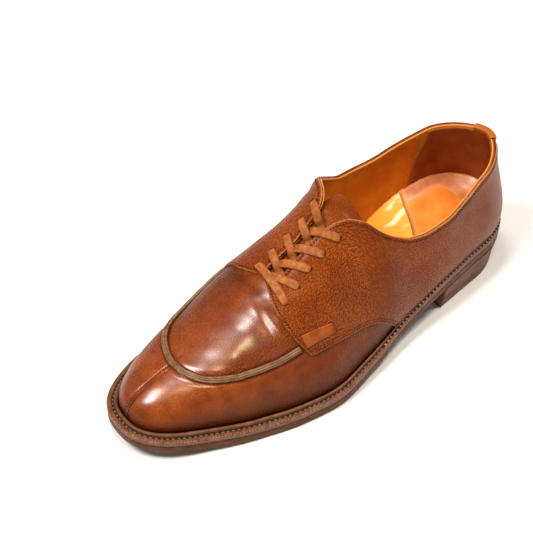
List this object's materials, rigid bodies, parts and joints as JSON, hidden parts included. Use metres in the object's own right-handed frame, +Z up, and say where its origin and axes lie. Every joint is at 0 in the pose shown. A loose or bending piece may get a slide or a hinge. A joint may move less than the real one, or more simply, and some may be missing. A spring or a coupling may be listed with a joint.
{
  "type": "apron toe derby shoe",
  "caption": "Left leather derby shoe with a split apron toe, open-laced quarters, storm welt, stacked heel and a hollow upper open at the collar.",
  "frame": {"origin": "centre of the sole's box on the floor, under the middle of the shoe", "axes": "+X along the foot to the toe, +Y to the outer (lateral) side, +Z up"},
  "size_m": [0.308, 0.1108, 0.1064],
  "materials": {
    "sole_leather": "dark brown leather sole, waxed edge",
    "heel_leather": "dark brown stacked leather heel",
    "welt_leather": "brown storm welt, stitched and wheeled",
    "insole_leather": "tan sock lining, bare",
    "calf_smooth": "polished chestnut calf with fine grain",
    "calf_grain": "polished chestnut calf with pebbled grain",
    "calf_edge": "chestnut calf strip with a worn lighter edge",
    "piping_leather": "dark brown raised piping",
    "lace_cotton": "flat waxed cotton lace, tan"
  },
  "bodies": {
    "root": {"outsole": "sole_leather", "heel": "heel_leather", "welt": "welt_leather", "insole": "insole_leather", "upper": "calf_smooth", "quarter_lateral": "calf_grain", "quarter_medial": "calf_grain", "backstay": "calf_edge", "apron_piping": "piping_leather", "toe_seam": "calf_smooth", "tongue": "calf_grain", "lace_bar": "lace_cotton", "lace_cross_1": "lace_cotton", "lace_cross_2": "lace_cotton", "lace_cross_3": "lace_cotton", "lace_cross_4": "lace_cotton"}
  },
  "joints": []
}
